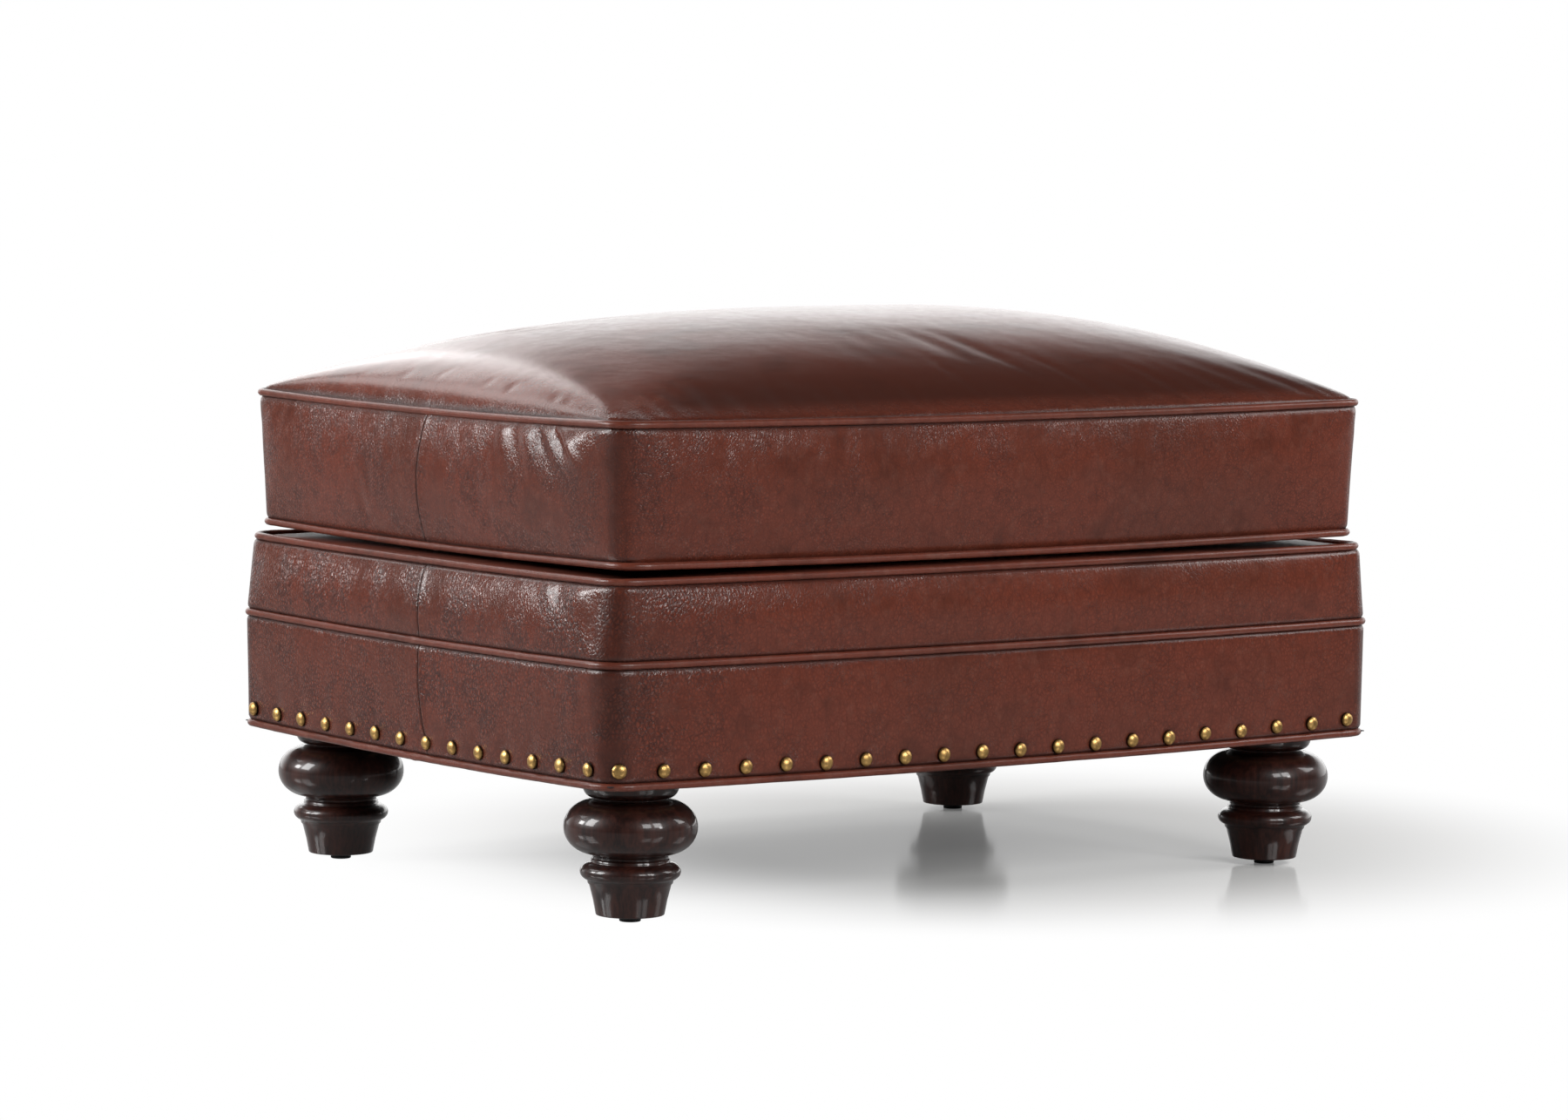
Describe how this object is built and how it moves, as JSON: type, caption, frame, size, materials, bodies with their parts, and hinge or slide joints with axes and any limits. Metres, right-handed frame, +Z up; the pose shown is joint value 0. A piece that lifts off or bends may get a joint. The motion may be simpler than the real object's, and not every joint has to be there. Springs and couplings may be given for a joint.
{
  "type": "upholstered footstool",
  "caption": "Rectangular leather footstool with a loose welted cushion, a banded and nail-trimmed base, and turned wooden bun feet.",
  "frame": {"origin": "on the floor, under the middle of the stool", "axes": "+X along the long side to the right, +Z up, the front is the long side towards -Y"},
  "size_m": [0.7812, 0.5652, 0.4651],
  "materials": {
    "leather": "aged brown-red leather with a fine pebble grain and a soft sheen",
    "welt_leather": "the same leather drawn smooth over piping cord",
    "polished_wood": "dark mahogany stain under gloss lacquer",
    "hardwood": "planed, unfinished",
    "zinc_steel": "zinc plated",
    "spring_wire": "oiled hard-drawn wire",
    "glide_plastic": "moulded, slightly scuffed",
    "foam": "open-cell upholstery foam",
    "fibre": "bonded polyester fibre",
    "burlap": "coarse jute weave",
    "cambric": "thin black non-woven cloth"
  },
  "bodies": {
    "base": {"front_rail": "hardwood", "back_rail": "hardwood", "left_rail": "hardwood", "right_rail": "hardwood", "centre_stretcher": "hardwood", "corner_block_front_left": "hardwood", "corner_block_front_right": "hardwood", "corner_block_back_left": "hardwood", "corner_block_back_right": "hardwood", "foot_front_left": "polished_wood", "glide_front_left": "glide_plastic", "hanger_bolt_front_left": "zinc_steel", "tee_nut_front_left": "zinc_steel", "foot_front_right": "polished_wood", "glide_front_right": "glide_plastic", "hanger_bolt_front_right": "zinc_steel", "tee_nut_front_right": "zinc_steel", "foot_back_left": "polished_wood", "glide_back_left": "glide_plastic", "hanger_bolt_back_left": "zinc_steel", "tee_nut_back_left": "zinc_steel", "foot_back_right": "polished_wood", "glide_back_right": "glide_plastic", "hanger_bolt_back_right": "zinc_steel", "tee_nut_back_right": "zinc_steel", "sinuous_spring_1": "spring_wire", "sinuous_spring_2": "spring_wire", "sinuous_spring_3": "spring_wire", "sinuous_spring_4": "spring_wire", "sinuous_spring_5": "spring_wire", "burlap_insulator": "burlap", "deck_panel": "leather", "deck_pad": "foam", "lower_band_front": "leather", "lower_band_back": "leather", "upper_band_front": "leather", "upper_band_back": "leather", "lower_padding": "fibre", "upper_padding": "foam", "deck_welt": "welt_leather", "middle_welt": "welt_leather", "bottom_welt": "welt_leather", "dust_cover": "cambric"},
    "cushion": {"cushion_top_panel": "leather", "cushion_bottom_panel": "leather", "cushion_boxing_front": "leather", "cushion_boxing_back": "leather", "cushion_top_welt": "welt_leather", "cushion_bottom_welt": "welt_leather", "lower_fibre_wrap": "fibre", "foam_core": "foam", "upper_fibre_wrap": "fibre"}
  },
  "joints": [
    {"name": "cushion_lift", "type": "slide", "parent": "base", "child": "cushion", "axis": [0, 0, 1], "range_m": [0, 0.15]}
  ]
}
